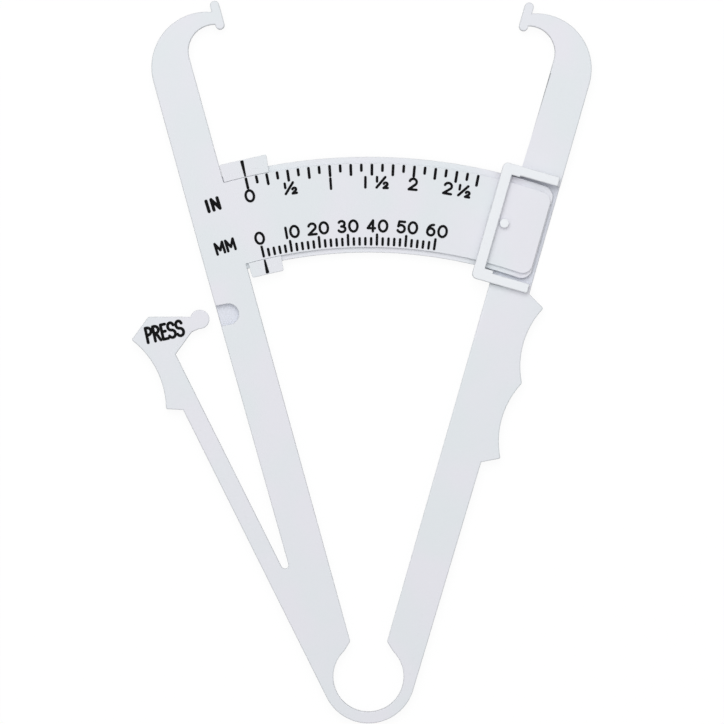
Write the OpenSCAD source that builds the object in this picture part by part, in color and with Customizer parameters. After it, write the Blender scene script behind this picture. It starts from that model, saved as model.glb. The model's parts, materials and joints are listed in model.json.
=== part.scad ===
// Skinfold caliper, lying on its back with the printed face up and the jaws open.
// One springy moulding makes both arms, and a clip slides on its scale band.
// Every outline is drawn about the flex centre of the spring ring, where the arms
// turn, and the finished pieces are then set on the middle of the object's box.

/* [Moulded frame] */
// Thickness of the moulding
plate_t = 3.2; // [2.8:0.1:4]
// Angle between each arm's inner edge and the middle line, jaws open
arm_angle = 15.7; // [14.5:0.1:17]
// Width of an arm
arm_w = 9.6; // [9:0.1:10.4]
// Distance from the flex centre to the arms' lower inner corners
throat_reach = 16; // [15:0.25:18]
// Distance from the flex centre to where the hooks leave the arms
arm_len = 154.7; // [148:0.1:162]
// Rounding of the arms' lower inner corners
throat_r = 0.7; // [0.3:0.1:1.2]

/* [Spring ring] */
// Height of the ring's centre above the flex centre
ring_rise = 7.2; // [6:0.1:8]
// Inside radius of the ring
ring_in_r = 8.25; // [7.5:0.05:9]
// Wall of the ring, which bends
ring_wall = 2.7; // [2:0.1:3]
// Angle from the top of the ring at which its eye opens between the arms
ring_mouth = 44; // [40:1:50]

/* [Jaws] */
// Outer radius of a hook
hook_out_r = 13; // [12:0.1:14]
// Inner radius of a hook
hook_in_r = 6.2; // [5.5:0.1:7]
// Distance along the arm from the outer arc's centre to the inner arc's centre
hook_shift = 3.2; // [2.5:0.1:4]
// How far a foot's contact face stands inward of the arm
foot_reach = 10.05; // [9.5:0.05:10.5]
// Thickness of a foot
foot_w = 2.15; // [1.8:0.05:2.6]
// Length of a foot
foot_len = 6.85; // [6:0.05:8]
// How far a foot stands above its hook
foot_proud = 1.55; // [1:0.05:2]

/* [Scale band] */
// Radius of the band's inner edge about the flex centre
band_in_r = 106.65; // [104:0.05:109]
// Width of the band
band_w = 22.4; // [20:0.1:24]
// Height of the band's back above the table
band_back = 1.3; // [1.2:0.05:1.5]
// How far the band's rims lie below the printed panel
rim_drop = 0.8; // [0.7:0.05:0.9]
// Width of the rim along the inner edge
rim_in_w = 1.2; // [1:0.05:1.5]
// Width of the rim along the outer edge
rim_out_w = 1.5; // [1.2:0.05:1.8]
// Distance from the band's free end to the right arm's outer edge, jaws open
band_inset = 0.9; // [0.6:0.1:1.5]
// Step from the band's free end back to the end of the printed panel
panel_step = 0.25; // [0.1:0.05:0.5]
// Rounding of the band's free end
band_corner_r = 2.6; // [2:0.1:3.5]
// Radius of the nub that stops the jaws when they open
nub_r = 1.1; // [0.9:0.05:1.4]
// Height of the nub
nub_h = 1.2; // [0.8:0.1:1.6]
// Gap between the nub and the bridge, jaws open
nub_gap = 0.35; // [0.2:0.05:0.6]

/* [Band guide] */
// How far the guide stands inward of the right arm
guide_reach = 4.6; // [4.2:0.1:5.2]
// Width of the bridge over the band
bridge_w = 2.55; // [2:0.05:3]
// Width of the guide's upper and lower bars
guide_bar = 2.2; // [1.8:0.1:2.6]
// Height of the guide above the arm
guide_rise = 1.8; // [1.5:0.1:2.4]
// Clearance between the bridge and the printed panel
bridge_gap = 0.3; // [0.2:0.05:0.4]
// Clearance between the band's edges and the guide
guide_gap = 0.15; // [0.1:0.05:0.3]
// Clearance between the band's edges and the pocket in the right arm
pocket_gap = 0.5; // [0.3:0.05:0.8]
// Clearance between the band's back and what lies under it
floor_gap = 0.2; // [0.15:0.05:0.3]
// Distance from the guide's ends to the right arm's outer edge
guide_inset = 0.6; // [0.3:0.1:1]
// Rounding of the guide's inner corners
guide_corner_r = 1.2; // [0.6:0.1:1.6]
// Rounding of the guide's ends at the arm's outer edge
guide_end_r = 0.4; // [0.2:0.1:0.8]

/* [Slide clip] */
// Width of the clip at its outer edge
clip_w = 11.3; // [10:0.1:12.5]
// How far the clip stands past the band's outer edge
clip_out = 2.75; // [2.4:0.05:3]
// How far the clip stands past the band's inner edge
clip_in = 2.35; // [2.1:0.05:2.6]
// Height of the clip's back above the table
clip_lift = 0.1; // [0.05:0.05:0.15]
// Clearance between the clip and the band
clip_gap = 0.05; // [0.05:0.05:0.2]
// How far the lips stand above the printed panel
lip_proud = 0.1; // [0.05:0.05:0.3]
// Gap between the clip's outer corner and the left arm, clip at zero
clip_rest_gap = 0.08; // [0.05:0.01:0.2]
// Gap between the clip's inner corner and the left arm, clip at zero
clip_foot_gap = 0.6; // [0.4:0.05:1]
// Rounding of the clip's corners
clip_corner_r = 0.3; // [0.2:0.05:0.5]

/* [Thumb lever] */
// Angle between the lever and the middle line, lever free
lever_angle = 26.8; // [26:0.1:28]
// Width of the lever's beam
lever_w = 4.2; // [3.6:0.1:4.8]
// Radius of the round end of the slot between lever and arm
slot_r = 0.87; // [0.7:0.01:1]
// How much narrower the left arm gets beside the slot
slot_lean = 0.42; // [0.2:0.02:0.5]
// Distance from the flex centre to where the left arm starts to get narrower
lean_start = 108; // [105:1:112]
// Distance from the ring's centre to the point where the beam bends
lever_bend = 43.5; // [42.5:0.5:46]
// Half length of the stretch of beam that bends
flex_half = 10; // [8:0.5:10]
// Angle through which the lever bends before its disc clicks home
lever_travel = 7.8; // [7:0.1:8.4]
// Distance from the ring's centre to the tip of the thumb pad
pad_tip = 95.4; // [94:0.1:98]
// Distance from the ring's centre to the heel of the thumb pad
pad_heel = 77.3; // [76:0.1:80]
// How far the thumb pad's tip and heel stand outward of the beam
pad_out = 3.5; // [3:0.1:4]
// Depth of the hollow for the thumb
pad_hollow = 2.1; // [1.5:0.1:2.4]
// Distance along the lever from the pad's shoulder on the beam to its heel
heel_rise = 2; // [1.5:0.1:3]
// Distance along the lever from the pad's tip to its crown
crown_rise = 3.1; // [2.5:0.1:4]
// Distance from the beam's outer edge inward to the crown
crown_inset = 2.4; // [1.5:0.1:3.2]
// Rounding of the crown
crown_r = 0.8; // [0.4:0.1:1]
// Rounding of the points of the thumb pad and the finger grip
point_r = 0.4; // [0.2:0.05:0.5]
// How far the pad reaches inward of the beam, to the disc's neck
pad_reach = 5.8; // [5.2:0.1:6.2]
// Distance along the lever from the inner notch of the pad up to the disc
notch_drop = 4.8; // [4:0.1:6]
// How far the neck's upper edge leaves the pad above the disc's centre
neck_rise = 2.15; // [1.8:0.05:2.4]
// How far the neck's lower edge leaves the pad below the disc's centre
neck_fall = 1.8; // [1.5:0.05:2]
// Angle round the disc, up from its pad side, where the neck's upper edge meets it
neck_up_turn = 40; // [30:5:60]
// Angle round the disc, down from its pad side, where the neck's lower edge meets it
neck_down_turn = 60; // [40:5:80]
// Radius of the click disc
disc_r = 2.24; // [2:0.02:2.4]
// Distance from the beam's inner edge across to the disc's centre
disc_side = 8.75; // [8:0.05:9]
// Distance from the ring's centre along to the disc's centre
disc_along = 92.6; // [92:0.1:94]
// Thickness of the click disc
disc_t = 1.55; // [1.2:0.05:1.8]
// Clearance between the disc and its socket in the left arm
socket_gap = 0.18; // [0.1:0.02:0.3]

/* [Finger grip] */
// How far the grip's points stand out from the right arm
grip_out = 4.1; // [3:0.1:5]
// Distance along the arm from the guide to the grip's first point
grip_start = 2.3; // [1.5:0.1:3.5]
// Length of each finger hollow
hollow_len = 18.3; // [16:0.1:20]
// Depth of each finger hollow
hollow_depth = 2.25; // [1.5:0.05:2.8]
// Length of the shoulder below the last point
grip_shoulder = 2.1; // [1:0.1:3]
// Rounding of the ridge between the hollows
ridge_r = 0.8; // [0.5:0.1:1.2]

/* [Printed scales] */
// Thickness of the printed ink
ink_t = 0.05; // [0.04:0.01:0.1]
// Width of an inch graduation
inch_line_w = 0.65; // [0.3:0.05:0.8]
// Width of a millimetre graduation
mm_line_w = 0.6; // [0.3:0.05:0.7]
// Angle of both zero lines from the middle line
zero_angle = 13.33; // [13.2:0.01:13.4]
// Radius at which the skinfold is measured
measure_r = 163; // [160:0.5:168]
// Last reading on the millimetre scale
mm_last = 60; // [40:2:60]
// Last reading on the inch scale, in eighths of an inch
eighths_last = 22; // [12:1:22]
// Distance from the panel's outer edge to the inch graduations
inch_margin = 0.1; // [0.05:0.05:0.4]
// Distance from the panel's inner edge to the millimetre graduations
mm_margin = 0.35; // [0.2:0.05:0.6]
// Length of a long inch graduation
inch_long = 2.85; // [2.3:0.05:3.2]
// Length of a short inch graduation
inch_short = 1.95; // [1.2:0.05:2.2]
// Length of a long millimetre graduation
mm_long = 2.9; // [2.4:0.05:3.2]
// Length of a short millimetre graduation
mm_short = 2.05; // [1.2:0.05:2.3]
// Distance from the clip's edges to its index lines
index_margin = 0.1; // [0.05:0.05:0.3]
// Width of an index line at the clip's edge
index_w = 0.85; // [0.6:0.05:1]
// Width of an index line beside the panel
index_tip_w = 0.45; // [0.3:0.05:0.6]

/* [Hidden] */
$fn = 96;

white = [0.93, 0.935, 0.945];
black = [0.04, 0.04, 0.045];
inch = 25.4;
past = 1; // how far a cutting shape runs past what it cuts
far = 200; // longer than the object
arc_step = 5; // degrees between the points of a drawn arc

// Heights above the table
band_front = plate_t - rim_drop;
bridge_back = plate_t + bridge_gap;
guide_front = plate_t + guide_rise;
band_bed = band_back - floor_gap;
lip_back = band_front + clip_gap;
lip_front = plate_t + lip_proud;
disc_back = plate_t - disc_t;
socket_bed = disc_back - socket_gap;

// Radii about the flex centre
band_out_r = band_in_r + band_w;
panel_in_r = band_in_r + rim_in_w;
panel_out_r = band_out_r - rim_out_w;
clip_out_r = band_out_r + clip_out;
clip_in_r = band_in_r - clip_in;
ring_out_r = ring_in_r + ring_wall;
ring_mid = [0, ring_rise];

// Places in an arm's own frame: outward of its inner edge, and along it
band_end = arm_w - band_inset;
panel_end = band_end - panel_step;
pocket_top = band_out_r + pocket_gap;
pocket_low = sqrt(pow(band_in_r - pocket_gap, 2) - pow(arm_w, 2));
guide_top = pocket_top + guide_bar;
guide_low = pocket_low - guide_bar;
guide_end = arm_w - guide_inset;
bridge_end = bridge_w - guide_reach;
reach_top = band_out_r + guide_gap;
reach_low = sqrt(pow(band_in_r - guide_gap, 2) - pow(guide_reach, 2));
grip_top = guide_low - grip_start;
grip_end = grip_top - 2 * hollow_len;
hook_mid = [arm_w - hook_out_r, arm_len];
bend_mid = [-hook_in_r, arm_len + hook_shift];
foot_back = foot_w - foot_reach;
foot_top = arm_len + hook_out_r + foot_proud;
hook_in_turn = acos((foot_back - bend_mid[0]) / hook_in_r);
hook_out_turn = acos((foot_back - hook_mid[0]) / hook_out_r);

// Each frame's function takes a place in it and gives the place about the flex centre
function right_at(out, along) = [
    out * cos(arm_angle) + along * sin(arm_angle),
    along * cos(arm_angle) - out * sin(arm_angle)
];
function left_at(out, along) = [-right_at(out, along)[0], right_at(out, along)[1]];
function lever_at(out, along) = [
    -out * cos(lever_angle) - along * sin(lever_angle),
    ring_rise + along * cos(lever_angle) - out * sin(lever_angle)
];
function polar(r, clockwise) = [r * sin(clockwise), r * cos(clockwise)];

// A corner is [x, y] or [x, y, rounding], and rounded() draws the roundings as arcs
function unit(v) = v / norm(v);
function steps(sweep) = max(2, ceil(abs(sweep) / arc_step));
function arc(mid, r, from, sweep) = [
    for (i = [0:steps(sweep)])
        let (a = from + sweep * i / steps(sweep))
        mid + r * [cos(a), sin(a)]
];
function xy(p) = [p[0], p[1]];
function fillet(before, corner, after, r) =
    let (
        u = unit(before - corner),
        v = unit(after - corner),
        half = acos(u * v) / 2,
        mid = corner + unit(u + v) * r / sin(half),
        start = corner + u * r / tan(half) - mid,
        end = corner + v * r / tan(half) - mid,
        from = atan2(start[1], start[0]),
        turn = atan2(end[1], end[0]) - from,
        sweep = turn > 180 ? turn - 360 : turn < -180 ? turn + 360 : turn
    )
    arc(mid, r, from, sweep);
function rounded(corners) =
    let (n = len(corners))
    [
        for (i = [0:n - 1])
            let (
                before = xy(corners[(i + n - 1) % n]),
                here = xy(corners[i]),
                after = xy(corners[(i + 1) % n]),
                r = len(corners[i]) > 2 ? corners[i][2] : 0
            )
            each r > 0 ? fillet(before, here, after, r) : [here]
    ];
function with_r(p, r) = [p[0], p[1], r];
// The inner points of a hollow from p to q, sunk to the left of the way from p to q
function hollow(p, q, depth) =
    let (
        half = norm(q - p) / 2,
        r = (half * half + depth * depth) / (2 * depth),
        side = [p[1] - q[1], q[0] - p[0]] / (2 * half),
        mid = (p + q) / 2 + side * (depth - r),
        from = atan2(p[1] - mid[1], p[0] - mid[0]),
        points = arc(mid, r, from, -2 * asin(half / r))
    )
    [for (i = [1:len(points) - 2]) points[i]];
// Where the line through p along u meets the line through q along v
function meet(p, u, q, v) = p + u * cross(q - p, v) / cross(u, v);
// Where a straight edge down from p touches the outside of the ring on its right
function ring_touch(p) =
    let (
        d = p - ring_mid,
        a = atan2(d[1], d[0]) - acos(ring_out_r / norm(d))
    )
    ring_mid + ring_out_r * [cos(a), sin(a)];

// Slot between the lever and the left arm
lever_in = ring_out_r - lever_w;
lean_top = left_at(arm_w, lean_start);
lean_way = unit(lean_top - left_at(arm_w - slot_lean, lever_bend));
lever_way = lever_at(0, 1) - ring_mid;
slot_point = meet(lean_top, lean_way, lever_at(lever_in, 0), lever_way);
slot_half = acos(lean_way * lever_way) / 2;
slot_end = (slot_point - lever_at(lever_in, 0)) * lever_way + slot_r / tan(slot_half);
flex_start = max(slot_end, lever_bend - flex_half);
flex_end = 2 * lever_bend - flex_start;

// The lever's bend, its disc, and the disc's place when pressed
bend_point = lever_at(ring_out_r - lever_w / 2, lever_bend);
disc_mid = lever_at(lever_in - disc_side, disc_along);
disc_swing = disc_mid - bend_point;
socket_mid = bend_point + [
    disc_swing[0] * cos(lever_travel) + disc_swing[1] * sin(lever_travel),
    disc_swing[1] * cos(lever_travel) - disc_swing[0] * sin(lever_travel)
];

// Thumb pad and the places where the disc's neck leaves it
pad_base = pad_heel - heel_rise;
pad_tip_at = lever_at(ring_out_r + pad_out, pad_tip);
pad_heel_at = lever_at(ring_out_r + pad_out, pad_heel);
neck_top_at = lever_at(lever_in - pad_reach, disc_along + neck_rise);
neck_low_at = lever_at(lever_in - pad_reach, disc_along - neck_fall);
pad_outline = rounded(concat(
    [
        lever_at(lever_in, pad_base),
        lever_at(lever_in, disc_along - notch_drop),
        neck_low_at,
        neck_top_at,
        with_r(lever_at(ring_out_r - crown_inset, pad_tip + crown_rise), crown_r),
        with_r(pad_tip_at, point_r)
    ],
    hollow(pad_tip_at, pad_heel_at, pad_hollow),
    [with_r(pad_heel_at, point_r), lever_at(ring_out_r, pad_base)]
));

// Slide clip, in polar form about the flex centre
clip_half_out = asin(clip_w / 2 / clip_out_r);
clip_half_in = clip_half_out + asin(guide_reach / clip_out_r) - asin(guide_reach / clip_in_r);
clip_angle = arm_angle - asin(clip_rest_gap / clip_out_r) - clip_half_out;

// Middle of the object's box
hook_back = arc(hook_mid, hook_out_r, hook_out_turn, -hook_out_turn);
right_most = max([for (p = hook_back) right_at(p[0], p[1])[0]]);
left_most = min([for (p = pad_outline) p[0]]);
foot_tip = right_at(foot_back - foot_w / 2, foot_top - foot_w / 2);
top_most = foot_tip[1] + foot_w / 2;
low_most = ring_rise - ring_out_r;
box_mid = [(left_most + right_most) / 2, (low_most + top_most) / 2, 0];

module placed() {
    translate(-box_mid) children();
}

module on_right() {
    rotate([0, 0, -arm_angle]) children();
}

module on_left() {
    mirror([1, 0, 0]) on_right() children();
}

module slab(low, high) {
    translate([0, 0, low]) linear_extrude(high - low) children();
}

// Part of the ring's wall between two directions, seen from its centre
module ring_sector(touch_left, touch_right) {
    intersection() {
        translate(ring_mid) difference() {
            circle(ring_out_r);
            circle(ring_in_r);
        }
        polygon([
            ring_mid,
            ring_mid + unit(touch_left - ring_mid) * far,
            [-far, -far],
            [far, -far],
            ring_mid + unit(touch_right - ring_mid) * far
        ]);
    }
}

// Socket for the click disc, open towards the place of the free disc
module socket() {
    r = disc_r + socket_gap;
    way = disc_mid - socket_mid;
    slab(socket_bed, plate_t + past) translate(socket_mid) {
        circle(r);
        rotate([0, 0, atan2(way[1], way[0])]) translate([0, -r]) square([norm(way), 2 * r]);
    }
}

module left_arm() {
    color(white) difference() {
        slab(0, plate_t) difference() {
            polygon(rounded([
                with_r(left_at(0, throat_reach), throat_r),
                left_at(0, arm_len),
                left_at(arm_w, arm_len),
                lean_top,
                with_r(slot_point, slot_r),
                lever_at(lever_in, flex_start),
                lever_at(ring_out_r, flex_start),
                lever_at(ring_out_r, 0),
                ring_mid,
                ring_mid + ring_in_r * [-sin(ring_mouth), cos(ring_mouth)]
            ]));
            translate(ring_mid) circle(ring_in_r);
        }
        socket();
    }
}

module spring_ring() {
    touch_right = ring_touch(right_at(arm_w, grip_end - grip_shoulder));
    color(white) slab(0, plate_t) ring_sector(lever_at(ring_out_r, 0), touch_right);
}

// Hook in an arm's own frame, from the arm's end round to the back of the foot
module hook() {
    slab(0, plate_t)
        polygon(concat([[0, arm_len]], arc(bend_mid, hook_in_r, 0, hook_in_turn), hook_back));
}

// Contact foot in an arm's own frame, a bar with round ends
module foot() {
    slab(0, plate_t) translate([foot_back - foot_w / 2, foot_top - foot_len / 2]) {
        square([foot_w, foot_len - foot_w], center = true);
        for (way = [-1, 1]) translate([0, way * (foot_len - foot_w) / 2]) circle(foot_w / 2);
    }
}

module left_hook() {
    color(white) on_left() hook();
}

module left_foot() {
    color(white) on_left() foot();
}

module right_hook() {
    color(white) on_right() hook();
}

module right_foot() {
    color(white) on_right() foot();
}

// What rounds one corner of a free end takes away, in the right arm's frame
module end_corner(edge_r, way, end, r) {
    mid_r = edge_r - way * r;
    mid = [end - r, sqrt(pow(mid_r, 2) - pow(end - r, 2))];
    difference() {
        polygon([
            mid,
            [end + past, mid[1]],
            [end + past, mid[1] + way * (r + past)],
            mid * (edge_r + way * past) / mid_r
        ]);
        translate(mid) circle(r);
    }
}

// A strip of the band between two radii, from the left arm to its free end
module band_strip(in_r, out_r, end, corner_r) {
    difference() {
        intersection() {
            difference() {
                circle(out_r);
                circle(in_r);
            }
            polygon([
                left_at(0, in_r / 2), right_at(end, in_r / 2),
                right_at(end, far), left_at(0, far)
            ]);
        }
        on_right() {
            end_corner(out_r, 1, end, corner_r);
            end_corner(in_r, -1, end, corner_r);
        }
    }
}

module scale_band() {
    color(white) slab(band_back, band_front)
        band_strip(band_in_r, band_out_r, band_end, band_corner_r);
}

module scale_panel() {
    color(white) slab(band_front, plate_t)
        band_strip(panel_in_r, panel_out_r, panel_end, band_corner_r - panel_step);
}

module stop_nub() {
    out = bridge_end + nub_gap + nub_r;
    mid_r = band_in_r + band_w / 2;
    color(white) translate([0, 0, plate_t])
        translate(right_at(out, sqrt(pow(mid_r, 2) - pow(out, 2)))) cylinder(r = nub_r, h = nub_h);
}

// Angle of a reading, clockwise from the middle line
function reading_at(mm) = 2 * asin(mm / 2 / measure_r) - zero_angle;

// Printed line with round ends along a radius
module radial_line(angle, from_r, to_r, w) {
    rotate([0, 0, -angle]) {
        translate([-w / 2, from_r + w / 2]) square([w, to_r - from_r - w]);
        for (r = [from_r + w / 2, to_r - w / 2]) translate([0, r]) circle(w / 2, $fn = 24);
    }
}

module mm_ticks() {
    from_r = panel_in_r + mm_margin;
    color(black) slab(plate_t, plate_t + ink_t) for (mm = [0:2:mm_last])
        radial_line(reading_at(mm), from_r, from_r + (mm % 10 == 0 ? mm_long : mm_short), mm_line_w);
}

module inch_ticks() {
    to_r = panel_out_r - inch_margin;
    color(black) slab(plate_t, plate_t + ink_t) for (i = [0:eighths_last])
        radial_line(reading_at(i * inch / 8), to_r - (i % 2 == 0 ? inch_long : inch_short), to_r,
            inch_line_w);
}

module lever_flexure() {
    color(white) slab(0, plate_t) polygon([
        lever_at(lever_in, flex_start), lever_at(lever_in, flex_end),
        lever_at(ring_out_r, flex_end), lever_at(ring_out_r, flex_start)
    ]);
}

module lever_beam() {
    color(white) slab(0, plate_t) polygon([
        lever_at(lever_in, flex_end), lever_at(lever_in, pad_base),
        lever_at(ring_out_r, pad_base), lever_at(ring_out_r, flex_end)
    ]);
}

module thumb_pad() {
    color(white) slab(0, plate_t) polygon(pad_outline);
}

// Half-thick disc on a short neck, which enters the socket above the arm's back
module click_disc() {
    out = lever_in - disc_side;
    rim = [
        for (turn = [neck_up_turn, -neck_down_turn])
            lever_at(out + disc_r * cos(turn), disc_along + disc_r * sin(turn))
    ];
    color(white) {
        slab(disc_back, plate_t) translate(disc_mid) circle(disc_r);
        slab(disc_back, plate_t) polygon([neck_low_at, neck_top_at, rim[0], disc_mid, rim[1]]);
    }
}

module right_arm() {
    grip_foot = right_at(arm_w, grip_end - grip_shoulder);
    color(white) difference() {
        slab(0, plate_t) difference() {
            polygon(rounded([
                with_r(right_at(0, throat_reach), throat_r),
                ring_mid + ring_in_r * [sin(ring_mouth), cos(ring_mouth)],
                ring_mid,
                ring_touch(grip_foot),
                grip_foot,
                right_at(arm_w, arm_len),
                right_at(0, arm_len)
            ]));
            translate(ring_mid) circle(ring_in_r);
        }
        on_right() translate([-past, pocket_low, band_bed])
            cube([arm_w + 2 * past, pocket_top - pocket_low, plate_t]);
    }
}

module finger_grip() {
    tip = arm_w + grip_out;
    points = [for (i = [0:2]) [tip, grip_end + i * hollow_len]];
    color(white) on_right() slab(0, plate_t) polygon(rounded(concat(
        [[arm_w, grip_end - grip_shoulder], with_r(points[0], point_r)],
        hollow(points[0], points[1], hollow_depth),
        [with_r(points[1], ridge_r)],
        hollow(points[1], points[2], hollow_depth),
        [with_r(points[2], point_r), [arm_w, guide_low]]
    )));
}

// Outline of the guide in the right arm's frame, cut off at given sides
module guide_outline(from, to) {
    intersection() {
        polygon(rounded([
            with_r([-guide_reach, guide_low], guide_corner_r),
            with_r([guide_end, guide_low], guide_end_r),
            with_r([guide_end, guide_top], guide_end_r),
            with_r([-guide_reach, guide_top], guide_corner_r)
        ]));
        translate([from, guide_low]) square([to - from, guide_top - guide_low]);
    }
}

module band_guide() {
    color(white) on_right() {
        slab(0, guide_front) difference() {
            guide_outline(-guide_reach, 0);
            translate([-guide_reach, reach_low]) square([guide_reach, reach_top - reach_low]);
        }
        slab(plate_t, guide_front) difference() {
            guide_outline(0, guide_end);
            translate([0, pocket_low]) square([arm_w, pocket_top - pocket_low]);
        }
        slab(bridge_back, guide_front) guide_outline(-guide_reach, bridge_end);
        slab(0, band_bed) translate([bridge_end, reach_low])
            square([-bridge_end, reach_top - reach_low]);
    }
}

module slide_clip() {
    color(white) difference() {
        slab(clip_lift, lip_front) polygon(rounded([
            with_r(polar(clip_in_r, clip_half_in - clip_angle), clip_corner_r),
            with_r(polar(clip_out_r, clip_half_out - clip_angle), clip_corner_r),
            with_r(polar(clip_out_r, -clip_half_out - clip_angle), clip_corner_r),
            with_r(polar(clip_in_r, asin(clip_foot_gap / clip_in_r) - arm_angle), clip_corner_r)
        ]));
        slab(band_bed, lip_back) difference() {
            circle(band_out_r + clip_gap);
            circle(band_in_r - clip_gap);
        }
        slab(band_bed, lip_front + past) difference() {
            circle(panel_out_r + clip_gap);
            circle(panel_in_r - clip_gap);
        }
    }
}

// Printed wedge along the zero line, from its thin tip to its blunt end
module index_wedge(tip_r, blunt_r) {
    rotate([0, 0, zero_angle]) polygon(rounded([
        [-index_tip_w / 2, tip_r, index_tip_w / 3],
        [-index_w / 2, blunt_r, index_w / 3],
        [index_w / 2, blunt_r, index_w / 3],
        [index_tip_w / 2, tip_r, index_tip_w / 3]
    ]));
}

module index_lines() {
    color(black) slab(lip_front, lip_front + ink_t) {
        index_wedge(panel_out_r + clip_gap + index_margin,
            clip_out_r * cos(clip_half_out) - index_margin);
        index_wedge(panel_in_r - clip_gap - index_margin, clip_in_r + index_margin);
    }
}

placed() left_arm();
placed() left_hook();
placed() left_foot();
placed() spring_ring();
placed() scale_band();
placed() scale_panel();
placed() stop_nub();
placed() mm_ticks();
placed() inch_ticks();
placed() lever_flexure();
placed() lever_beam();
placed() thumb_pad();
placed() click_disc();
placed() right_arm();
placed() right_hook();
placed() right_foot();
placed() finger_grip();
placed() band_guide();
placed() slide_clip();
placed() index_lines();
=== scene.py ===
"""A skinfold caliper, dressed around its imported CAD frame. Lengths are in metres, in the
frame's own axes."""

import json
import math

import bmesh
import bpy
from mathutils import Matrix, Vector


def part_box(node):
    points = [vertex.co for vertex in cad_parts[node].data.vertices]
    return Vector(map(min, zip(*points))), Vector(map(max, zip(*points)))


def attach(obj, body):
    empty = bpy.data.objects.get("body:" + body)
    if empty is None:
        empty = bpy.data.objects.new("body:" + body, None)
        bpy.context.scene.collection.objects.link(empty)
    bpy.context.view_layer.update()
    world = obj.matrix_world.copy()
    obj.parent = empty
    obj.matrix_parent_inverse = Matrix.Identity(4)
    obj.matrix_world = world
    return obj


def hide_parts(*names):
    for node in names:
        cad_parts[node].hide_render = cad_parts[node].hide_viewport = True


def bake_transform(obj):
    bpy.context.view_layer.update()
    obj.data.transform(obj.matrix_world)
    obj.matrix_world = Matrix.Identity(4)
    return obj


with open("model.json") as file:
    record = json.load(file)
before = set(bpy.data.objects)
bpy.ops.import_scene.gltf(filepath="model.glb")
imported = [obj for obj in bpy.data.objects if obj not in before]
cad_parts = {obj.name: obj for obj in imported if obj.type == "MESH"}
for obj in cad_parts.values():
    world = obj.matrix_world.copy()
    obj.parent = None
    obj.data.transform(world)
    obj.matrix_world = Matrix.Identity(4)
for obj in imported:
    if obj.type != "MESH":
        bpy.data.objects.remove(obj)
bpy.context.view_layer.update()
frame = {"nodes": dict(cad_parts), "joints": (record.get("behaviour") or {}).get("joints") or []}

MM = 0.001
joint = {j["name"]: j for j in frame["joints"]}

# ---------------------------------------------------------------- The photograph's view
# The caliper lies face up and is seen from straight above, turned a third of a degree
# clockwise. The flex centre, where the arms turn, is near the picture's lower edge.

PICTURE_SIDE = 724  # pixels
PIXELS_PER_MM = 4.26
FLEX_PIXEL = (368.28, 706.8)
TILT = math.radians(0.29)
EYE_HEIGHT = 2.0
SENSOR = 36.0  # mm, the side of the camera's square sensor
NEAREST = 0.01
FARTHEST = 10

flex_centre = Vector(joint["jaw_close"]["pos_m"])
across = (PICTURE_SIDE / 2 - FLEX_PIXEL[0]) / PIXELS_PER_MM * MM
up = (FLEX_PIXEL[1] - PICTURE_SIDE / 2) / PIXELS_PER_MM * MM
eye = flex_centre + Matrix.Rotation(TILT, 3, "Z") @ Vector((across, up, 0))

bpy.ops.object.camera_add(location=(eye.x, eye.y, EYE_HEIGHT), rotation=(0, 0, TILT))
camera = bpy.context.object
camera.data.sensor_width = SENSOR
camera.data.lens = SENSOR * EYE_HEIGHT * PIXELS_PER_MM / (PICTURE_SIDE * MM)
camera.data.clip_start = NEAREST
camera.data.clip_end = FARTHEST
bpy.context.scene.camera = camera
bpy.context.scene.view_settings.view_transform = "Standard"

# ---------------------------------------------------------------- Moulded frame, left side
# One springy injection moulding makes both arms. This is its left arm with the hooked jaw,
# the foot, the scale band and the stop nub, in white polystyrene with softened edges.

EDGE_R = 0.25 * MM  # soft edge that the mould's polished cavity leaves
EDGE_STEPS = 3
WALL_TILT = 0.5  # a face whose normal rises less than this is an upright wall
WALL_SHARE = 0.139  # largest rounding, as a share of the height of the wall below it
SEAM_SLACK = 0.02 * MM  # how near a seam plane an edge lies to belong to it
SEAM_REACH = 15 * MM  # how far round its point a seam plane goes
SHARP = math.radians(28)  # least turn between two faces whose edge is rounded
SMOOTH = math.radians(40)
FLAT = math.radians(0.1)
TINY = 0.001 * MM
SAME_POINT = 2 * TINY  # points of a CAD node that are nearer than this are one
WELD_REACH = 8 * TINY  # the same after the nodes are joined
CORNER_SHARE = 0.4  # keeps a point at a sharp corner from moving far


def only(piece):
    """Selects that piece alone and makes it active."""
    bpy.ops.object.select_all(action="DESELECT")
    piece.select_set(True)
    bpy.context.view_layer.objects.active = piece


def swell(piece, amount):
    """Moves the piece's upright walls outward, and leaves its level faces where they are."""
    mesh = bmesh.new()
    mesh.from_mesh(piece.data)
    moves = {}
    for v in mesh.verts:
        walls = [f.normal for f in v.link_faces if abs(f.normal.z) < WALL_TILT]
        first = walls[0]
        second = min(walls, key=first.dot)
        middle = (first + second).normalized()
        moves[v] = middle * amount / max(middle.dot(first), CORNER_SHARE)
    for v, move in moves.items():
        v.co += move
    mesh.to_mesh(piece.data)
    mesh.free()


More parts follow.
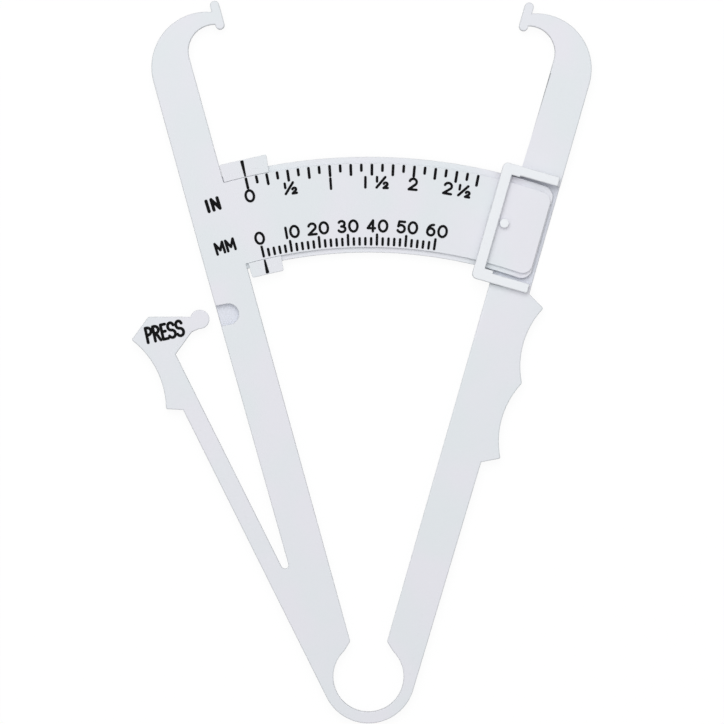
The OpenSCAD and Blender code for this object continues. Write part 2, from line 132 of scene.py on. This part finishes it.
def shell(name, nodes):
    """One closed shell made from copies of those CAD nodes, which overlap by a hair's width
    while they are joined, so that no wall is left between them. Fins and spikes that the
    joining leaves are taken off."""
    parts = []
    for node in nodes:
        part = frame["nodes"][node].copy()
        part.data = part.data.copy()
        part.parent = None
        for key in list(part.keys()):
            del part[key]
        bpy.context.collection.objects.link(part)
        only(part)
        bpy.ops.object.mode_set(mode="EDIT")
        bpy.ops.mesh.select_all(action="SELECT")
        bpy.ops.mesh.remove_doubles(threshold=SAME_POINT)
        bpy.ops.mesh.customdata_custom_splitnormals_clear()
        bpy.ops.mesh.dissolve_limited(angle_limit=FLAT)
        bpy.ops.object.mode_set(mode="OBJECT")
        swell(part, TINY)
        parts.append(part)
    piece = parts[0]
    piece.name = name
    for part in parts[1:]:
        only(piece)
        union = piece.modifiers.new("union", "BOOLEAN")
        union.operation = "UNION"
        union.solver = "EXACT"
        union.object = part
        bpy.ops.object.modifier_apply(modifier=union.name)
        bpy.data.objects.remove(part)
    only(piece)
    bpy.ops.object.mode_set(mode="EDIT")
    bpy.ops.mesh.select_all(action="SELECT")
    bpy.ops.mesh.dissolve_limited(angle_limit=FLAT)
    bpy.ops.mesh.select_all(action="SELECT")
    bpy.ops.mesh.remove_doubles(threshold=WELD_REACH)
    mesh = bmesh.from_edit_mesh(piece.data)
    fins = [f for f in mesh.faces if any(e.is_boundary for e in f.edges)]
    bmesh.ops.delete(mesh, geom=fins, context="FACES")
    spikes = []
    for v in mesh.verts:
        ways = [e.other_vert(v).co - v.co for e in v.link_edges]
        if len(ways) == 2 and ways[0] @ ways[1] > 0:
            spikes.append(v)
    bmesh.ops.dissolve_verts(mesh, verts=spikes)
    bmesh.update_edit_mesh(piece.data)
    bpy.ops.mesh.select_all(action="SELECT")
    bpy.ops.mesh.delete_loose()
    bpy.ops.object.mode_set(mode="OBJECT")
    swell(piece, -TINY)
    return piece


def soften(piece, seams, radius=EDGE_R):
    """Rounds a shell's outer edges, less where the wall beside an edge is low, and not at all
    in a seam with the next piece."""
    mesh = bmesh.new()
    mesh.from_mesh(piece.data)
    weight = mesh.edges.layers.float.new("bevel_weight_edge")
    for e in mesh.edges:
        in_seam = any(
            all(abs((v.co - p) @ n) < SEAM_SLACK and (v.co - p).length < SEAM_REACH
                for v in e.verts)
            for p, n in seams
        )
        if not e.is_convex or e.calc_face_angle() < SHARP or in_seam:
            continue
        walls = [f for f in e.link_faces if abs(f.normal.z) < WALL_TILT]
        tall = min(max(v.co.z for v in f.verts) - min(v.co.z for v in f.verts) for f in walls)
        e[weight] = min(1, tall * WALL_SHARE / radius)
    mesh.to_mesh(piece.data)
    mesh.free()
    only(piece)
    rounding = piece.modifiers.new("rounding", "BEVEL")
    rounding.limit_method = "WEIGHT"
    rounding.width = radius
    rounding.segments = EDGE_STEPS
    rounding.use_clamp_overlap = False
    bpy.ops.object.modifier_apply(modifier=rounding.name)
    bpy.ops.object.shade_smooth_by_angle(angle=SMOOTH)
    flat = piece.modifiers.new("flat faces", "WEIGHTED_NORMAL")
    flat.keep_sharp = True
    bpy.ops.object.modifier_apply(modifier=flat.name)


RING_RISE = 7.2 * MM
RING_OUT_R = 10.95 * MM
LEVER_ANGLE = math.radians(26.8)

ring_mid = flex_centre + Vector((0, RING_RISE, 0))
lever_way = Vector((-math.sin(LEVER_ANGLE), math.cos(LEVER_ANGLE), 0))
lever_side = Vector((-lever_way.y, lever_way.x, 0))
ring_left_seam = (ring_mid, lever_way)
root_points = [v.co - ring_mid for v in frame["nodes"]["lever_flexure"].data.vertices]
flex_start = min(p @ lever_way for p in root_points)
flex_end = max(p @ lever_way for p in root_points)
root_low_seam = (ring_mid + lever_side * RING_OUT_R + lever_way * flex_start, lever_way)
root_high_seam = (ring_mid + lever_side * RING_OUT_R + lever_way * flex_end, lever_way)

WHITE_TINT = "E3E3EA"  # the two faint tints that drift over a pale moulding
GREY_TINT = "DFE4E8"
WHITE_END = 0.38  # share of the patches' noise below which only the first tint shows
GREY_START = 0.62  # and above which only the second does
RECESS_SHADE_TINT = "DADDE6"  # painted shade: low level faces in recesses are made greyer
RECESS_SHADE_LOW = 0.9 * MM  # heights between which level faces get the painted shade
RECESS_SHADE_HIGH = 2.3 * MM
RAISED_LIGHT_TINT = "EAEDF1"  # painted light: faces above these heights, the raised bars, are made whiter
RAISED_LIGHT_LOW = 3.4 * MM
RAISED_LIGHT_HIGH = 4.2 * MM
TINT_PATCH = 14  # mm across one patch of tint
GRAIN = 0.35  # mm between the specks of the fine mould texture
GLOSS_SPECK = 0.36  # roughness of the texture's glossiest and dullest specks
DULL_SPECK = 0.48
GRAIN_DEPTH = 0.02 * MM
GRAIN_RELIEF = 0.12
STYRENE_IOR = 1.59


def linear(hex_colour):
    """Linear RGBA of an sRGB hex colour."""
    parts = [int(hex_colour[i:i + 2], 16) / 255 for i in (0, 2, 4)]
    return [c / 12.92 if c <= 0.04045 else ((c + 0.055) / 1.055) ** 2.4 for c in parts] + [1]


def add(tree, kind, links=(), **settings):
    """Adds a node with its settings, and links (input, node, output) into it."""
    node = tree.nodes.new(kind)
    for name, value in settings.items():
        if name in node.inputs:
            node.inputs[name].default_value = value
        else:
            setattr(node, name, value)
    for socket, source, output in links:
        tree.links.new(source.outputs[output], node.inputs[socket])
    return node


def per_mm(size):
    """Texture scale whose features are that many millimetres apart."""
    return 1 / (size * MM)


def new_material(name):
    """An empty material and its node tree."""
    material = bpy.data.materials.new(name)
    material.use_nodes = True
    material.node_tree.nodes.clear()
    return material, material.node_tree


def mixed(tree, share, base, hex_colour):
    """Mixes a (node, output) colour with a fixed one, by a (node, output) share."""
    mix = add(tree, "ShaderNodeMix", data_type="RGBA")
    factor, first, second = mix.inputs[0], mix.inputs[6], mix.inputs[7]
    tree.links.new(share[0].outputs[share[1]], factor)
    tree.links.new(base[0].outputs[base[1]], first)
    second.default_value = linear(hex_colour)
    return mix


def moulded_plastic(name, warm, cool):
    """Opaque white polystyrene from a polished mould: satin, with faint patches of two tints
    that drift over it. Low level faces, the rims and recess floors, carry painted shade, and tall
    faces carry painted light, so they look greyer and whiter; the fine mould texture is barely seen."""
    material, tree = new_material(name)
    place = add(tree, "ShaderNodeTexCoord")
    patch = add(tree, "ShaderNodeTexNoise", [("Vector", place, "Object")],
                Scale=per_mm(TINT_PATCH), Detail=2.0, Roughness=0.4)
    tint = add(tree, "ShaderNodeValToRGB", [("Fac", patch, "Fac")])
    tint.color_ramp.elements[0].position = WHITE_END
    tint.color_ramp.elements[0].color = linear(warm)
    tint.color_ramp.elements[1].position = GREY_START
    tint.color_ramp.elements[1].color = linear(cool)
    height = add(tree, "ShaderNodeSeparateXYZ", [("Vector", place, "Object")])
    level = add(tree, "ShaderNodeSeparateXYZ", [("Vector", place, "Normal")])
    upright = add(tree, "ShaderNodeMath", operation="ABSOLUTE")
    tree.links.new(level.outputs["Z"], upright.inputs[0])
    # Painted shade: level faces at the heights of the rims and recess floors are mixed towards a
    # greyer tint.
    recess_shade_mask = add(tree, "ShaderNodeMath", operation="COMPARE")
    tree.links.new(height.outputs["Z"], recess_shade_mask.inputs[0])
    recess_shade_mask.inputs[1].default_value = (RECESS_SHADE_LOW + RECESS_SHADE_HIGH) / 2
    recess_shade_mask.inputs[2].default_value = (RECESS_SHADE_HIGH - RECESS_SHADE_LOW) / 2
    recess_shade_share = add(tree, "ShaderNodeMath", operation="MULTIPLY")
    tree.links.new(recess_shade_mask.outputs["Value"], recess_shade_share.inputs[0])
    tree.links.new(upright.outputs["Value"], recess_shade_share.inputs[1])
    body = mixed(tree, (recess_shade_share, "Value"), (tint, "Color"), RECESS_SHADE_TINT)
    # Painted light: faces at the height of the raised bars and above are mixed towards a whiter tint.
    raised_light_share = add(tree, "ShaderNodeMapRange", [("Value", height, "Z")])
    raised_light_share.inputs["From Min"].default_value = RAISED_LIGHT_LOW
    raised_light_share.inputs["From Max"].default_value = RAISED_LIGHT_HIGH
    colour = mixed(tree, (raised_light_share, "Result"), (body, 2), RAISED_LIGHT_TINT)
    grain = add(tree, "ShaderNodeTexNoise", [("Vector", place, "Object")],
                Scale=per_mm(GRAIN), Detail=3.0)
    satin = add(tree, "ShaderNodeMapRange", [("Value", grain, "Fac")])
    satin.inputs["To Min"].default_value = GLOSS_SPECK
    satin.inputs["To Max"].default_value = DULL_SPECK
    relief = add(tree, "ShaderNodeBump", [("Height", grain, "Fac")],
                 Strength=GRAIN_RELIEF, Distance=GRAIN_DEPTH)
    plastic = add(
        tree, "ShaderNodeBsdfPrincipled",
        [("Base Color", colour, 2), ("Roughness", satin, "Result"), ("Normal", relief, "Normal")],
        IOR=STYRENE_IOR,
    )
    add(tree, "ShaderNodeOutputMaterial", [("Surface", plastic, "BSDF")])
    return material


def finish_with(piece, material):
    """Gives the whole piece that one material."""
    piece.data.materials.clear()
    piece.data.materials.append(material)


frame_plastic = moulded_plastic("moulded_white_polystyrene", WHITE_TINT, GREY_TINT)

left_nodes = ["left_arm", "left_hook", "left_foot", "scale_band", "scale_panel", "stop_nub"]
left = shell("left_moulding", left_nodes)
soften(left, [ring_left_seam, root_low_seam])
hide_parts(*left_nodes)
finish_with(left, frame_plastic)
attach(left, "left_frame")

# ---------------------------------------------------------------- Moulded frame, spring ring
# The thin open ring at the bottom joins the arms and bends when the jaws are pressed
# together. It is the same moulding, so its ends run into the arms without an edge.

ARM_ANGLE = math.radians(15.7)
ARM_W = 9.6 * MM
GRIP_FOOT = 62.515 * MM  # distance along the right arm to where its straight edge starts

right_way = Vector((math.sin(ARM_ANGLE), math.cos(ARM_ANGLE), 0))
right_side = Vector((right_way.y, -right_way.x, 0))
to_grip = flex_centre + right_side * ARM_W + right_way * GRIP_FOOT - ring_mid
touch_turn = math.atan2(to_grip.y, to_grip.x) - math.acos(RING_OUT_R / to_grip.length)
touch_way = Vector((math.cos(touch_turn), math.sin(touch_turn), 0))
ring_right_seam = (ring_mid, Vector((-touch_way.y, touch_way.x, 0)))

ring = shell("spring_ring_wall", ["spring_ring"])
soften(ring, [ring_left_seam, ring_right_seam])
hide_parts("spring_ring")
finish_with(ring, frame_plastic)
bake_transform(ring)

# ---------------------------------------------------------------- Moulded frame, right side
# The right arm with its hooked jaw and foot, the finger grip, and the guide whose bridge
# holds the scale band in the arm's pocket. All of it is one solid piece of the moulding.

right_nodes = ["right_arm", "right_hook", "right_foot", "finger_grip", "band_guide"]
right = shell("right_moulding", right_nodes)
soften(right, [ring_right_seam])
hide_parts(*right_nodes)
finish_with(right, frame_plastic)
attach(right, "right_jaw")

# ---------------------------------------------------------------- Thumb lever, bending root
# The lever's root is a plain strip that grows from the left arm and bends under the
# thumb. Cuts across it let it bend in a smooth curve.

ROOT_CUTS = 15

root = shell("lever_root", ["lever_flexure"])
bpy.ops.object.mode_set(mode="EDIT")
bpy.ops.mesh.select_all(action="DESELECT")
mesh = bmesh.from_edit_mesh(root.data)
for e in mesh.edges:
    e.select = abs((e.verts[1].co - e.verts[0].co) @ lever_way) > (flex_end - flex_start) / 2
bmesh.update_edit_mesh(root.data)
bpy.ops.mesh.subdivide(number_cuts=ROOT_CUTS)
bpy.ops.object.mode_set(mode="OBJECT")
soften(root, [root_low_seam, root_high_seam])
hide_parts("lever_flexure")
finish_with(root, frame_plastic)
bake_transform(root)

# ---------------------------------------------------------------- Thumb lever, pad and disc
# The stiff end of the lever: its beam, the hollow thumb pad, and the half-thick click disc
# on its neck, which snaps into the left arm's socket. It is part of the same moulding.

lever_nodes = ["lever_beam", "thumb_pad", "click_disc"]
lever = shell("lever_head", lever_nodes)
soften(lever, [root_high_seam])
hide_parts(*lever_nodes)
finish_with(lever, frame_plastic)
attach(lever, "thumb_lever")

# ---------------------------------------------------------------- Slide clip
# A small separate moulding that wraps the scale band and marks the reading. Its lips lie
# over the band's rims, and it keeps its place by friction.

CLIP_EDGE_R = 0.1 * MM

clip_plastic = moulded_plastic("moulded_white_clip_polystyrene", WHITE_TINT, GREY_TINT)

clip = shell("slide_clip_body", ["slide_clip"])
soften(clip, [], CLIP_EDGE_R)
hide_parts("slide_clip")
finish_with(clip, clip_plastic)
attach(clip, "slide")

# ---------------------------------------------------------------- Printed graduations
# The graduations and the clip's index lines are black pad printing, a thin film of matt
# ink. Their solids already have its shape, so they only get its finish.

INK_BLACK = "0A0A0C"
INK_WORN = "141417"
INK_GRAIN = 0.25  # mm between the faint thin spots of the film
WORN_START = 0.5  # share of the film's noise above which it starts to look worn
WORN_END = 0.8
INK_ROUGH = 0.7
INK_IOR = 1.5
INK_SHEEN = 0.08  # the matt film hardly mirrors the bright ceiling

ink, tree = new_material("pad_print_ink_black")
place = add(tree, "ShaderNodeTexCoord")
film = add(tree, "ShaderNodeTexNoise", [("Vector", place, "Object")],
           Scale=per_mm(INK_GRAIN), Detail=2.0)
shade = add(tree, "ShaderNodeValToRGB", [("Fac", film, "Fac")])
shade.color_ramp.elements[0].position = WORN_START
shade.color_ramp.elements[0].color = linear(INK_BLACK)
shade.color_ramp.elements[1].position = WORN_END
shade.color_ramp.elements[1].color = linear(INK_WORN)
matt = add(tree, "ShaderNodeBsdfPrincipled", [("Base Color", shade, "Color")],
           Roughness=INK_ROUGH, IOR=INK_IOR)
matt.inputs["Specular IOR Level"].default_value = INK_SHEEN
add(tree, "ShaderNodeOutputMaterial", [("Surface", matt, "BSDF")])

for node in ("mm_ticks", "inch_ticks", "index_lines"):
    finish_with(frame["nodes"][node], ink)

# ---------------------------------------------------------------- Printed numerals and units
# Numerals in a round drawn style stand under the inch lines and over the millimetre lines,
# with the two units beside the zeros. They are printed in the same pass as the lines.

INK_T = 0.05 * MM
NUMERAL_PEN = 0.6 * MM
INCH_UNIT_PEN = 0.78 * MM
MM_UNIT_PEN = 0.62 * MM
INCH_NUMERAL_R = 123.05 * MM
MM_NUMERAL_R = 112.85 * MM
ZERO_TURN = math.radians(13.33)  # both zeros, anticlockwise from the middle line
MEASURE_R = 163 * MM  # radius at which the skinfold is measured
INCH = 25.4 * MM
TENS_SHIFT = 1.35 * MM  # first digit, left of its line
ONE_SHIFT = 0.57 * MM  # the narrow 1 stands nearer
ZERO_SHIFT = 1.39 * MM  # last digit, right of its line
WHOLE_SHIFT = 1.5 * MM  # whole inches before a half
HALF_SHIFT = 2.5 * MM
HALF_ALONE_SHIFT = 0.2 * MM
HALVES = 5  # numerals of the inch scale after its zero
TENS = 6  # numerals of the millimetre scale after its zero
UNIT_TURN = math.radians(17.45)
UNIT_RISE = 0.25 * MM  # units stand a little higher than the numerals
I_SHIFT = -1.35 * MM
N_SHIFT = 0.6 * MM
FIRST_M_SHIFT = -1.5 * MM
SECOND_M_SHIFT = 1.1 * MM
ARC_STEP = math.radians(12)
CAP_STEPS = 8
LIFTS = 4  # different heights of the strokes of one character


def bow(x, y, rx, ry, start, end):
    """Points along part of an ellipse, in millimetres and degrees."""
    start, end = math.radians(start), math.radians(end)
    steps = math.ceil(abs(end - start) / ARC_STEP)
    turns = [start + (end - start) * i / steps for i in range(steps + 1)]
    return [(x + rx * math.cos(t), y + ry * math.sin(t)) for t in turns]


# Each character's pen strokes, in millimetres about its middle
STROKES = {
    "0": [bow(0, 0, 0.96, 1.28, -5, 185), bow(0, 0, 0.96, 1.28, 175, 365)],
    "1": [[(0, -1.2), (0, 1.2)]],
    "2": [bow(0, 0.5, 0.82, 0.78, 165, -35) + [(-0.92, -1.25)], [(-0.92, -1.25), (0.9, -1.25)]],
    "3": [bow(-0.02, 0.63, 0.7, 0.64, 150, -95), bow(0, -0.62, 0.82, 0.66, 95, -155)],
    "4": [[(0.36, 1.27), (-0.84, -0.55)], [(-0.84, -0.55), (0.84, -0.55)],
          [(0.36, 1.27), (0.36, -1.27)]],
    "5": [[(0.8, 1.24), (-0.5, 1.24)], [(-0.5, 1.24), (-0.68, 0.12)],
          bow(-0.02, -0.42, 0.86, 0.84, 140, -150)],
    "6": [bow(0, -0.45, 0.83, 0.82, -5, 185), bow(0, -0.45, 0.83, 0.82, 175, 365),
          bow(0.5, -0.45, 1.33, 1.7, 90, 180)],
    "half": [[(-1.28, 0.2), (-1.28, 1.24)], [(0.65, 1.24), (-1.37, -1.2)],
             bow(0.74, -0.42, 0.42, 0.37, 165, -35) + [(0.27, -1.3)], [(0.27, -1.3), (1.22, -1.3)]],
    "I": [[(0, -1.27), (0, 1.27)]],
    "N": [[(-0.74, -1.27), (-0.74, 1.27)], [(-0.74, 1.27), (0.74, -1.27)],
          [(0.74, -1.27), (0.74, 1.27)]],
    "M": [[(-0.9, -1.27), (-0.9, 1.27)], [(-0.9, 1.27), (0, -0.5)], [(0, -0.5), (0.9, 1.27)],
          [(0.9, 1.27), (0.9, -1.27)]],
}


def stroke(mesh, path, pen, place):
    """Adds a flat face: the mark of a round-tipped pen drawn along a path. A character's
    strokes lie a hair apart in height, so that none shares a face with the one it crosses."""
    lift = len(mesh.faces) % LIFTS * TINY / 2
    path = [Vector((x * MM, y * MM, lift)) for x, y in path]
    ways = [(b - a).normalized() for a, b in zip(path[:1] + path[:-1], path[1:] + path[-1:])]
    ways[0] = (path[1] - path[0]).normalized()
    nib = [Matrix.Rotation(math.pi / 2, 3, "Z") @ w * pen / 2 for w in ways]
    caps = [math.pi * i / CAP_STEPS for i in range(1, CAP_STEPS)]
    outline = [p - n for p, n in zip(path, nib)]
    outline += [path[-1] - Matrix.Rotation(t, 3, "Z") @ nib[-1] for t in caps]
    outline += [p + n for p, n in reversed(list(zip(path, nib)))]
    outline += [path[0] + Matrix.Rotation(t, 3, "Z") @ nib[0] for t in caps]
    mesh.faces.new([mesh.verts.new(place @ p) for p in outline])


def printed(name, marks, pen):
    """One piece of print from (character, place) marks, raised to the ink's thickness."""
    mesh = bmesh.new()
    for character, place in marks:
        for path in STROKES[character]:
            stroke(mesh, path, pen, place)
    data = bpy.data.meshes.new(name)
    mesh.to_mesh(data)
    mesh.free()
    piece = bpy.data.objects.new(name, data)
    bpy.context.collection.objects.link(piece)
    only(piece)
    bpy.ops.object.mode_set(mode="EDIT")
    bpy.ops.mesh.select_all(action="SELECT")
    bpy.ops.mesh.extrude_region_move(TRANSFORM_OT_translate={"value": (0, 0, INK_T)})
    bpy.ops.mesh.select_all(action="SELECT")
    bpy.ops.mesh.normals_make_consistent(inside=False)
    bpy.ops.object.mode_set(mode="OBJECT")
    finish_with(piece, ink)
    return piece


panel_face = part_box("scale_panel")[1][2]


def on_scale(radius, turn, shift=0.0):
    """Place of a character on the panel, turned clockwise from the middle line."""
    middle = Matrix.Translation((flex_centre.x, flex_centre.y, panel_face))
    return middle @ Matrix.Rotation(-turn, 4, "Z") @ Matrix.Translation((shift, radius, 0))


def turn_at(reading):
    """Turn of a reading's line: the jaws' opening is a chord about the flex centre."""
    return 2 * math.asin(reading / 2 / MEASURE_R) - ZERO_TURN


marks = [("0", on_scale(INCH_NUMERAL_R, turn_at(0)))]
for halves in range(1, HALVES + 1):
    turn = turn_at(halves * INCH / 2)
    whole, half = divmod(halves, 2)
    if whole:
        marks.append((str(whole), on_scale(INCH_NUMERAL_R, turn, -WHOLE_SHIFT * half)))
    if half:
        shift = HALF_SHIFT if whole else HALF_ALONE_SHIFT
        marks.append(("half", on_scale(INCH_NUMERAL_R, turn, shift)))
marks.append(("0", on_scale(MM_NUMERAL_R, turn_at(0))))
for tens in range(1, TENS + 1):
    turn = turn_at(tens * 10 * MM)
    shift = ONE_SHIFT if tens == 1 else TENS_SHIFT
    marks.append((str(tens), on_scale(MM_NUMERAL_R, turn, -shift)))
    marks.append(("0", on_scale(MM_NUMERAL_R, turn, ZERO_SHIFT)))
numerals = printed("scale_numerals", marks, NUMERAL_PEN)
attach(numerals, "left_frame")

marks = [
    ("I", on_scale(INCH_NUMERAL_R + UNIT_RISE, -UNIT_TURN, I_SHIFT)),
    ("N", on_scale(INCH_NUMERAL_R + UNIT_RISE, -UNIT_TURN, N_SHIFT)),
]
inch_unit = printed("inch_unit", marks, INCH_UNIT_PEN)
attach(inch_unit, "left_frame")
marks = [
    ("M", on_scale(MM_NUMERAL_R + UNIT_RISE, -UNIT_TURN, FIRST_M_SHIFT)),
    ("M", on_scale(MM_NUMERAL_R + UNIT_RISE, -UNIT_TURN, SECOND_M_SHIFT)),
]
mm_unit = printed("mm_unit", marks, MM_UNIT_PEN)
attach(mm_unit, "left_frame")

# ---------------------------------------------------------------- Printed word on the pad
# The word that tells the thumb where to push is printed on the pad in taller, bolder
# strokes. It rises to the right, across the pad.

WORD_PEN = 0.7 * MM
WORD_TILT = math.radians(12.6)
WORD_START = Vector((-52.0, 85.2, 0)) * MM  # foot of the P, about the flex centre
LETTER_H = 3.45  # mm
LETTER_STARTS = (0, 1.75, 3.65, 5.2, 7.15)  # mm along the baseline

# These letters' strokes start at the foot of their stem
STROKES["P"] = [[(0, 0), (0, LETTER_H)],
                [(0, LETTER_H), (0.35, LETTER_H)] + bow(0.35, 2.6, 0.85, 0.85, 90, -90) + [(0, 1.75)]]
STROKES["R"] = STROKES["P"] + [[(0.5, 1.75), (1.3, 0)]]
STROKES["E"] = [[(0, 0), (0, LETTER_H)], [(0, LETTER_H), (1.0, LETTER_H)],
                [(0, 1.8), (0.85, 1.8)], [(0, 0), (1.2, 0)]]
STROKES["S"] = [bow(0.7, 2.62, 0.68, 0.86, 15, 262) + bow(0.72, 0.86, 0.78, 0.88, 80, -155)]

pad_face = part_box("thumb_pad")[1][2]
foot = flex_centre + WORD_START
word_place = Matrix.Translation((foot.x, foot.y, pad_face)) @ Matrix.Rotation(WORD_TILT, 4, "Z")
marks = []
for letter, along in zip("PRESS", LETTER_STARTS):
    marks.append((letter, word_place @ Matrix.Translation((along * MM, 0, 0))))
word = printed("thumb_pad_word", marks, WORD_PEN)
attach(word, "thumb_lever")

# ---------------------------------------------------------------- Floor and light
# The caliper lies on a white sheet under a bright ceiling that darkens towards the horizon,
# with one large soft lamp above its far edge, so edges that turn down are a little darker.

FLOOR_SIDE = 6.0
FLOOR_DROP = 0.01 * MM
FLOOR_GLOW = 0.92  # what the camera sees of the white sheet without any light on it
FLOOR_GREY = 0.09  # what is left for the object's faint shadow
PAPER_GREY = 0.15  # how much light the sheet sends back to the object
ZENITH_LEVEL = 0.95
HORIZON_LEVEL = 0.03  # the room behind the light is darker, so edges turned to it are too
LAMP_PLACE = Vector((-0.1, 0.5, 1.1))
LAMP_SIDE = 0.8
LAMP_LEVEL = 0.348  # share of full light that the lamp gives a level surface


def shown_white(tree):
    """One for the rays that show the background: the camera's, a mirror's and a glass's."""
    path = add(tree, "ShaderNodeLightPath")
    seen = add(tree, "ShaderNodeMath", operation="MAXIMUM")
    tree.links.new(path.outputs["Is Camera Ray"], seen.inputs[0])
    tree.links.new(path.outputs["Is Glossy Ray"], seen.inputs[1])
    seen_too = add(tree, "ShaderNodeMath", operation="MAXIMUM")
    tree.links.new(seen.outputs["Value"], seen_too.inputs[0])
    tree.links.new(path.outputs["Is Transmission Ray"], seen_too.inputs[1])
    return seen_too


bpy.ops.mesh.primitive_plane_add(size=FLOOR_SIDE, location=(0, 0, -FLOOR_DROP))
floor = bpy.context.object
floor.name = "floor"
sheet, tree = new_material("white_floor")
seen = shown_white(tree)
glow = add(tree, "ShaderNodeEmission", Strength=FLOOR_GLOW)
veil = add(tree, "ShaderNodeBsdfDiffuse", Color=(FLOOR_GREY, FLOOR_GREY, FLOOR_GREY, 1))
shown = add(tree, "ShaderNodeAddShader")
tree.links.new(glow.outputs[0], shown.inputs[0])
tree.links.new(veil.outputs[0], shown.inputs[1])
paper = add(tree, "ShaderNodeBsdfDiffuse", Color=(PAPER_GREY, PAPER_GREY, PAPER_GREY, 1))
either = add(tree, "ShaderNodeMixShader", [("Fac", seen, "Value")])
tree.links.new(paper.outputs[0], either.inputs[1])
tree.links.new(shown.outputs[0], either.inputs[2])
add(tree, "ShaderNodeOutputMaterial", [("Surface", either, "Shader")])
finish_with(floor, sheet)

world = bpy.data.worlds.new("studio")
bpy.context.scene.world = world
world.use_nodes = True
tree = world.node_tree
tree.nodes.clear()
seen = shown_white(tree)
way = add(tree, "ShaderNodeTexCoord")
rise = add(tree, "ShaderNodeSeparateXYZ", [("Vector", way, "Generated")])
dome = add(tree, "ShaderNodeMapRange", [("Value", rise, "Z")])
dome.inputs["To Min"].default_value = HORIZON_LEVEL
dome.inputs["To Max"].default_value = ZENITH_LEVEL
level = add(tree, "ShaderNodeMapRange", [("Value", seen, "Value")])
tree.links.new(dome.outputs["Result"], level.inputs["To Min"])
level.inputs["To Max"].default_value = 1.0
sky = add(tree, "ShaderNodeBackground", [("Strength", level, "Result")], Color=(1, 1, 1, 1))
add(tree, "ShaderNodeOutputWorld", [("Surface", sky, "Background")])

bpy.ops.object.light_add(type="AREA", location=LAMP_PLACE)
lamp = bpy.context.object
lamp.data.shape = "SQUARE"
lamp.data.size = LAMP_SIDE
lamp.data.energy = LAMP_LEVEL * math.pi ** 2 * LAMP_PLACE.length ** 3 / LAMP_PLACE.z
lamp.rotation_euler = LAMP_PLACE.to_track_quat("Z", "Y").to_euler()
